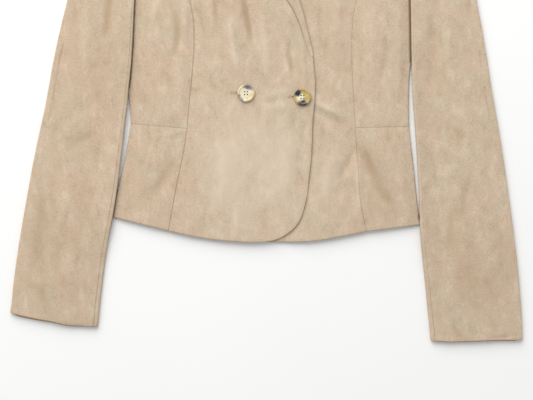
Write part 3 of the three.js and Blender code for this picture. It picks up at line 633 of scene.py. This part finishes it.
def finishCloth(name, reshape=None):
    piece, rim = welded[name]
    others = treeOf([
        point for other in suedePieces if other != name
        for part in rims[other] for point in part["points"]
    ])
    sewn, free = [], []
    creases = np.zeros(len(piece.data.edges))
    for part in rim:
        onArm = name in sleevePieces or min(p.y for p in part["points"]) > cloth["armpitY"]
        within = cloth["armWithin" if onArm else "seamWithin"]
        isSewn = max(others.find(point)[2] for point in part["points"]) < within
        (sewn if isSewn else free).extend(part["points"])
        creases[part["edge"]] = cloth["seamCrease"] if isSewn else cloth["edgeCrease"]
    piece.data.attributes.new("crease_edge", "FLOAT", "EDGE").data.foreach_set("value", creases)
    rounded = piece.modifiers.new("rounded", "SUBSURF")
    fine = name not in backPieces and not name.startswith("under")
    rounded.levels = rounded.render_levels = cloth["fine"] if fine else cloth["coarse"]
    applied(piece)
    mesh = piece.data
    places = placesOf(mesh)
    flat = places[:, :2].copy()
    normals = np.array([corner.normal for corner in mesh.vertices])
    toSewn = awayFrom(sewn, places)
    start, width = cloth["layer"]
    seams = np.ones(len(places))
    shown = cloth["sleeveSeams"]
    belowElbow = smooth((shown["from"] - flat[:, 1]) / shown["over"])
    if name in backPieces:
        rise, folds = np.zeros(len(places)), np.zeros(len(places))
    elif name in sleevePieces:
        floorAt = floors[name.split("_")[-1]]
        over = places[:, 2] - np.array([floorAt(x, y) for x, y in flat])
        rise, folds = sleeveRise(flat)
        layer = smooth((over - start) / width)
        seams = shown["above"] + shown["cuff"] * belowElbow
    else:
        rise, folds = bodyRise(flat)
        layer = smooth((places[:, 2] - start) / width) if name in sidePieces else 1
    if name not in backPieces:
        dips = cloth["seamDips"] * seams * np.exp(-((toSewn / cloth["dipWidth"]) ** 2))
        rise = (rise - dips) * layer
    # Each free edge gets a worn darker band, and a painted shadow line right at the edge
    edges = np.exp(-((awayFrom(free, places) / cloth["edgeWidth"]) ** 2))
    if name in sleevePieces:
        edges *= belowElbow
    elif name == "lapel_right":
        edges *= smooth((flat[:, 1] - lapelTip["y"]) / lapelTip["over"])
    # The painted fold shade and light, varied from place to place, with the broad painted tones
    # added
    tone = folds / cloth["foldShade"] * patchy(flat) + broadTone(flat)
    marks = {
        "seamShade": seams * np.exp(-((toSewn / cloth["seamWidth"]) ** 2)),
        "edgeWearAndShadow": edges,
        "foldShade": 0.5 + 0.25 * np.clip(tone, -2, 2),
        "creviceShade": creviceShadeAt(places, normals, name in sleevePieces),
    }
    for key, values in marks.items():
        mesh.attributes.new(key, "FLOAT", "POINT").data.foreach_set("value", values)
    drawSeams(places, sewn, others)
    if name in sleevePieces:
        places[:, :2] += sleeveMoves(flat, name.split("_")[-1])
        fill = armholeFill
        out = flat[:, 0] - fill["centre"]
        near = np.exp(-(((np.abs(out) - fill["sleeveOut"]) / fill["reach"]) ** 2))
        above = smooth((flat[:, 1] - fill["sleeveFrom"]) / fill["sleeveOver"])
        places[:, 0] -= np.sign(out) * fill["sleeveIn"] * near * above
    places[:, 2] += rise
    if reshape:
        reshape(places, normals)
    mesh.vertices.foreach_set("co", (places * mm).ravel())
    mesh.polygons.foreach_set("use_smooth", [True] * len(mesh.polygons))
    mesh.materials.clear()
    mesh.materials.append(suedeMaterial)
    mesh.update()
    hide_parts(name)
    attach(piece, "root")
    return piece


# The top front's rounded lower corner, from its free edge to the hem, and the small step in the
# edge where the lapel starts
frontCorner = {
    "line": [
        (65.5, -64.8), (61.5, -96.8), (58.6, -124), (54.2, -144), (48.6, -160.5), (42.6, -169.6),
        (34.8, -177), (26.4, -183), (17, -187.9), (7, -190.9), (-4.5, -192.3), (-26.5, -192.8),
    ],
    "step": 0.5,
    "window": 17,
    "from": (-8, -104),
    "ease": 14,
    "within": 7,
    "depth": 9,
    "upright": 0.6,
}
edgeStep = {"at": (66.3, 70.0), "reach": 4.2, "by": (1.3, 0)}


def smoothLine(points, step, window):
    points = np.array(points, float)
    along = np.concatenate([[0], np.cumsum(np.hypot(*np.diff(points, axis=0).T))])
    dense = np.arange(0, along[-1], step)
    weights = np.hanning(2 * window + 3)[1:-1]
    weights = weights / weights.sum()
    padded = [np.pad(np.interp(dense, along, values), window, "edge") for values in points.T]
    return np.array([np.convolve(values, weights, "valid") for values in padded]).T


def fillArmhole(places, normals):
    fill = armholeFill
    x, y = places[:, 0].copy(), places[:, 1]
    way, out = np.sign(x - fill["centre"]), np.abs(x - fill["centre"])
    edge = np.interp(y, fill["y"], fill["out"])
    inward = np.maximum(edge - out, 0)
    share = smooth((y - fill["y"][0]) / fill["rise"]) * smooth((fill["top"] - y) / fill["fade"])
    above = np.maximum(y - np.interp(out, fill["seamOut"], fill["seam"]), 0)
    dropped = smooth((out - fill["dropFrom"]) / fill["dropOver"])
    places[:, 0] += way * (fill["to"] - edge) * share * np.exp(-((inward / fill["reach"]) ** 2))
    places[:, 1] -= fill["drop"] * dropped * np.exp(-((above / fill["reach"]) ** 2))


def reshapeFront(places, normals):
    fillArmhole(places, normals)
    flat = places[:, :2].copy()
    line = treeOf([(x, y, 0) for x, y in smoothLine(*[
        frontCorner[key] for key in ("line", "step", "window")
    ])])
    ease = frontCorner["ease"]
    inside = smooth((flat[:, 0] - frontCorner["from"][0]) / ease) * smooth(
        (frontCorner["from"][1] - flat[:, 1]) / ease)
    moves, walls = [], []
    for k in np.flatnonzero((inside > 0) & (np.abs(normals[:, 2]) < frontCorner["upright"])):
        point, index, away = line.find((*flat[k], 0))
        if away < frontCorner["within"]:
            walls.append((*flat[k], 0))
            moves.append(np.array(point[:2]) - flat[k])
    wallTree = treeOf(walls)
    for k in np.flatnonzero(inside > 0):
        point, index, away = wallTree.find((*flat[k], 0))
        places[k, :2] += moves[index] * inside[k] * math.exp(-((away / frontCorner["depth"]) ** 2))
    away = np.hypot(*(flat - edgeStep["at"]).T)
    places[:, :2] += np.exp(-((away / edgeStep["reach"]) ** 2))[:, None] * edgeStep["by"]


clothPieces = {
    name: finishCloth(name, {"front_right": reshapeFront, "front_left": fillArmhole}.get(name))
    for name in suedePieces if name not in lapelPieces
}

# Heights on the finished right front, which carries the buttons and the buttonholes
frontTree = BVHTree.FromPolygons(
    [Vector(place) for place in placesOf(clothPieces["front_right"].data)],
    [list(face.vertices) for face in clothPieces["front_right"].data.polygons],
)


def frontTop(x, y):
    hit = frontTree.ray_cast((x, y, 60), (0, 0, -1))[0]
    return hit.z if hit else 0


# The lower end of the lapel thins out into the front's own edge
lapelTip = {
    "y": 71.5, "over": 34, "thinnest": 0.07, "inside": 4.5, "reach": 0.5, "reachOver": 4,
    "narrows": 1.0, "narrowsOver": 13,
}


def blendTip(places, normals):
    for place in places:
        fromTip = place[1] - lapelTip["y"]
        near = smooth(1 - fromTip / lapelTip["over"])
        if near > 0:
            level = max(frontTop(place[0] - inward, place[1])
                        for inward in (0, lapelTip["inside"] / 2, lapelTip["inside"]))
            place[2] -= max(place[2] - level, 0) * near * (1 - lapelTip["thinnest"])
            place[0] -= lapelTip["narrows"] * smooth(1 - fromTip / lapelTip["narrowsOver"])
            place[1] -= lapelTip["reach"] * smooth(1 - fromTip / lapelTip["reachOver"])


for name in lapelPieces:
    clothPieces[name] = finishCloth(name, blendTip if name == "lapel_right" else None)
print("cloth folded", sum(len(p.data.polygons) for p in clothPieces.values()) * 2)


buttonShape = {
    "profile": [
        (0, 0), (7.5, 0), (10.6, 0.5), (12.1, 1.7), (12.4, 2.6), (12.2, 3.4), (11.6, 4.0),
        (10.9, 4.2), (10.2, 4.1), (9.6, 3.7), (8.9, 3.25), (7.6, 3.05), (4, 2.98), (0, 2.95),
    ],
    "segments": 72,
    "holeAt": 2.75,
    "holeRadius": 1.0,
    "over": 0.35,
    "threadRadius": 0.5,
    "shankRadius": 1.5,
}
buttons = {
    "right": {
        "place": (-29, 20.2),
        "slot": "horn_cream",
        "base": (232, 222, 196),
        "streak": (214, 198, 160),
        "patches": [
            {"at": (9.5, -5.0), "size": 5.5, "colour": (206, 186, 132), "share": 0.8},
            {"at": (3.0, -10.5), "size": 5.5, "colour": (200, 180, 128), "share": 0.75},
            {"at": (-1.0, 11.0), "size": 4.6, "colour": (128, 128, 132), "share": 0.8},
            {"at": (4.0, 10.0), "size": 6.6, "colour": (98, 100, 110), "share": 0.95},
            {"at": (8.5, 7.5), "size": 4.4, "colour": (140, 138, 138), "share": 0.8},
            {"at": (-10.5, -4.5), "size": 4.6, "colour": (118, 116, 118), "share": 0.85},
            {"at": (-6.5, -9.5), "size": 4.4, "colour": (142, 138, 132), "share": 0.8},
        ],
    },
    "left": {
        "place": (51.5, 14.7),
        "slot": "horn_khaki",
        "base": (198, 176, 112),
        "streak": (174, 150, 88),
        "patches": [
            {"at": (-3.0, -0.5), "size": 7.8, "colour": (232, 224, 196), "share": 0.95},
            {"at": (-3.0, 0.5), "size": 3.6, "colour": (242, 238, 222), "share": 0.8},
            {"at": (-7.3, 6.3), "size": 7.4, "colour": (38, 34, 32), "share": 1},
            {"at": (0.8, -10.0), "size": 8.2, "colour": (30, 25, 24), "share": 1},
            {"at": (-4.5, -10.5), "size": 4.2, "colour": (58, 50, 44), "share": 0.8},
        ],
    },
}


def makeHorn(name, settings, centre):
    material, tree, shader, place = newMaterial(name, {
        "Roughness": 0.28, "Coat Weight": 0.3, "Coat Roughness": 0.12,
    })
    centred = addNode(tree, "ShaderNodeMapping", {"Location": [-c * mm for c in centre]})
    tree.links.new(place, centred.inputs["Vector"])
    spot = centred.outputs["Vector"]
    cloudy = noiseAt(tree, spot, 160, 4, 0.6, 1.2)
    colour = mixed(tree, ranged(tree, cloudy, 0.38, 0.66), linear(*settings["base"]),
                   linear(*settings["streak"]))
    warped = addNode(tree, "ShaderNodeTexNoise", {"Scale": 210, "Detail": 3, "Roughness": 0.6})
    tree.links.new(spot, warped.inputs["Vector"])
    shifted = addNode(tree, "ShaderNodeVectorMath", operation="MULTIPLY_ADD")
    tree.links.new(warped.outputs["Color"], shifted.inputs[0])
    shifted.inputs[1].default_value = (0.005, 0.005, 0)
    tree.links.new(spot, shifted.inputs[2])
    for patch in settings["patches"]:
        x, y = patch["at"]
        away = addNode(tree, "ShaderNodeVectorMath", operation="DISTANCE")
        tree.links.new(shifted.outputs["Vector"], away.inputs[0])
        away.inputs[1].default_value = ((x + 2.5) * mm, (y + 2.5) * mm, 0.003)
        reach = patch["size"] * mm
        share = ranged(tree, away.outputs["Value"], reach, 0.45 * reach, 0, patch["share"])
        colour = mixed(tree, share, colour, linear(*patch["colour"]))
    tree.links.new(colour, shader.inputs["Base Color"])
    normal = bumped(tree, noiseAt(tree, spot, 900, 3, 0.5), 0.08, 0.3)
    tree.links.new(normal, shader.inputs["Normal"])
    return material


def makePlain(name, tones, roughness, scale, bump):
    material, tree, shader, place = newMaterial(name, {"Roughness": roughness})
    speckle = noiseAt(tree, place, scale, 3, 0.6)
    colour = mixed(tree, ranged(tree, speckle, 0.35, 0.65), linear(*tones[0]), linear(*tones[1]))
    tree.links.new(colour, shader.inputs["Base Color"])
    tree.links.new(bumped(tree, speckle, bump, 0.2), shader.inputs["Normal"])
    return material


threadMaterial = makePlain("thread", [(202, 180, 152), (184, 160, 131)], 0.8, 2600, 0.4)
# A dark lens where the buttonhole's opening would be: painted shadow
slitShadowMaterial = makePlain("slitShadow", [(62, 46, 33), (44, 32, 23)], 0.95, 900, 0.3)
holeMaterial = makePlain("hole_thread", [(74, 62, 50), (52, 44, 36)], 0.85, 2200, 0.4)


def lathe(profile, segments):
    built = bmesh.new()
    corners = [built.verts.new((r * mm, 0, z * mm)) for r, z in profile]
    edges = [built.edges.new(pair) for pair in zip(corners, corners[1:])]
    bmesh.ops.spin(
        built, geom=corners + edges, axis=(0, 0, 1), cent=(0, 0, 0),
        steps=segments, angle=2 * math.pi, use_merge=True,
    )
    bmesh.ops.remove_doubles(built, verts=built.verts, dist=0.001 * mm)
    bmesh.ops.recalc_face_normals(built, faces=built.faces)
    return built


def addRod(built, radius, low, high, x, y, segments=12):
    bmesh.ops.create_cone(
        built, cap_ends=True, segments=segments, radius1=radius * mm, radius2=radius * mm,
        depth=(high - low) * mm, matrix=Matrix.Translation(Vector((x, y, (low + high) / 2)) * mm),
    )


def makeButton(side, settings):
    x, y = settings["place"]
    around = [frontTop(x + r * math.cos(a), y + r * math.sin(a))
              for r in (0, 4, 8) for a in np.linspace(0, 2 * math.pi, 9)]
    seat = max(around) + buttonShape["over"]
    centre = Vector((x, y, seat))
    button = newPiece(
        "horn_button_" + side, lathe(buttonShape["profile"], buttonShape["segments"]),
        makeHorn(settings["slot"], settings, centre),
    )
    button.data.transform(Matrix.Translation(centre * mm))
    drill = bmesh.new()
    at = buttonShape["holeAt"] / math.sqrt(2)
    holes = [(x + sx * at, y + sy * at) for sx in (-1, 1) for sy in (-1, 1)]
    for hx, hy in holes:
        addRod(drill, buttonShape["holeRadius"], seat - 2, seat + 8, hx, hy, 20)
    cutter = newPiece("drill", drill, None)
    cut = button.modifiers.new("holes", "BOOLEAN")
    cut.object = cutter
    cut.solver = "EXACT"
    applied(button)
    bpy.data.objects.remove(cutter)
    button.data.polygons.foreach_set("use_smooth", [True] * len(button.data.polygons))
    button.data.set_sharp_from_angle(angle=math.radians(40))
    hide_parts("button_" + side)
    threads = bmesh.new()
    radius = buttonShape["threadRadius"]
    for hx, hy in holes:
        addRod(threads, radius, seat - 0.2, seat + 2.5, hx, hy)
    addRod(threads, buttonShape["shankRadius"], frontTop(x, y) - 0.3, seat + 0.05, x, y, 16)
    sewing = newPiece("button_thread_" + side, threads, holeMaterial)
    for piece, slot in ((button, settings["slot"]), (sewing, "suede")):
        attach(piece, "root")


for side, settings in buttons.items():
    makeButton(side, settings)
print("buttons made")

buttonholes = {
    "right": {"from": (-50.5, 21.2), "to": (-36, 20.6), "side": 1.35, "slitFrom": 0.45},
    "left": {"from": (32.2, 15.8), "to": (45, 15.2), "side": 1.25, "slitFrom": 0.3},
}
stitchShape = {"spacing": 0.85, "length": 2.3, "radius": 0.36, "over": 0.12, "slitShadow": 0.55,
               "slitDepth": 0.25}


def addStitch(built, x, y, angle, length):
    radius = stitchShape["radius"]
    place = Vector((x, y, frontTop(x, y) + stitchShape["over"])) * mm
    matrix = (
        Matrix.Translation(place) @ Matrix.Rotation(angle, 4, "Z")
        @ Matrix.Diagonal((length / 2 * mm, radius * mm, radius * 0.9 * mm, 1))
    )
    bmesh.ops.create_uvsphere(built, u_segments=8, v_segments=5, radius=1, matrix=matrix)


def makeButtonhole(side, settings):
    start, end = Vector(settings["from"]), Vector(settings["to"])
    run = end - start
    angle = math.atan2(run.y, run.x)
    across = Vector((-math.sin(angle), math.cos(angle)))
    built = bmesh.new()
    count = round(run.length / stitchShape["spacing"])
    for k in range(count + 1):
        for way in (-1, 1):
            wobble = 0.25 * noise.noise((k * 1.7, way * 3.1, 4.0))
            at = start + run * k / count + across * way * (settings["side"] + wobble * 0.4)
            length = stitchShape["length"] * (1 + wobble)
            addStitch(built, *at, angle + math.pi / 2 + wobble * 0.5, length)
    for k in range(7):
        turn = math.pi / 2 + math.pi * (k + 0.5) / 7
        away = Vector((math.cos(turn + angle), math.sin(turn + angle)))
        addStitch(built, *(start + away * settings["side"]), turn + angle, stitchShape["length"])
    stitches = newPiece("buttonhole_" + side, built, threadMaterial)
    # The opening is painted shadow: a dark flat lens on the front between the stitches
    opening = bmesh.new()
    slitStart = start.lerp(end, settings["slitFrom"])
    middle = (slitStart + end) / 2
    lift = frontTop(*middle) + 0.05
    half = (end - slitStart).length / 2
    matrix = (
        Matrix.Translation(Vector((*middle, lift)) * mm) @ Matrix.Rotation(angle, 4, "Z")
        @ Matrix.Diagonal((half * mm, stitchShape["slitShadow"] * mm, stitchShape["slitDepth"] * mm, 1))
    )
    bmesh.ops.create_uvsphere(opening, u_segments=24, v_segments=8, radius=1, matrix=matrix)
    slitShadow = newPiece("buttonhole_slit_shadow_" + side, opening, slitShadowMaterial)
    for piece in (stitches, slitShadow):
        piece.data.polygons.foreach_set("use_smooth", [True] * len(piece.data.polygons))
        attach(piece, "root")
    return [stitches, slitShadow]


sewing = [piece for side, settings in buttonholes.items()
          for piece in makeButtonhole(side, settings)]
print("buttonholes worked")

stage = {"size": 9, "drop": 0.3, "tone": (242, 242, 241)}


def makeFloor():
    built = bmesh.new()
    bmesh.ops.create_grid(
        built, x_segments=4, y_segments=4, size=stage["size"] / 2,
        matrix=Matrix.Translation((0, 0, -stage["drop"] * mm)),
    )
    material, tree, shader, place = newMaterial("pale_surface", {
        "Roughness": 0.9, "Specular IOR Level": 0.2,
    })
    faint = noiseAt(tree, place, 3, 2, 0.5)
    colour = mixed(tree, ranged(tree, faint, 0.3, 0.7), linear(*stage["tone"]),
                   linear(*[c - 1 for c in stage["tone"]]))
    tree.links.new(colour, shader.inputs["Base Color"])
    floor = newPiece("floor", built, material)


makeFloor()

view = {"centre": (0.2, -132.2), "width": 762.2, "height": 2400, "level": 5, "sensor": 36}
softbox = {"place": (-0.95, 2.3, 2.2), "aim": (0.0, -0.1, 0), "size": 3.2, "power": 117}
skyStrength = 0.6


def makeCamera():
    data = bpy.data.cameras.new("above")
    data.sensor_width = view["sensor"]
    data.lens = view["sensor"] * (view["height"] - view["level"]) / view["width"]
    data.clip_end = 50
    camera = bpy.data.objects.new("above", data)
    camera.location = (view["centre"][0] * mm, view["centre"][1] * mm, view["height"] * mm)
    scene.collection.objects.link(camera)
    scene.camera = camera


def makeLights():
    data = bpy.data.lights.new("softbox", "AREA")
    data.shape = "SQUARE"
    data.size = softbox["size"]
    data.energy = softbox["power"]
    light = bpy.data.objects.new("softbox", data)
    light.location = softbox["place"]
    aim = Vector(softbox["aim"]) - Vector(softbox["place"])
    light.rotation_euler = aim.to_track_quat("-Z", "Y").to_euler()
    scene.collection.objects.link(light)
    world = bpy.data.worlds.new("pale_room")
    world.use_nodes = True
    world.node_tree.nodes["Background"].inputs["Color"].default_value = (1, 1, 1, 1)
    world.node_tree.nodes["Background"].inputs["Strength"].default_value = skyStrength
    scene.world = world


makeCamera()
makeLights()
print("camera and lights set")
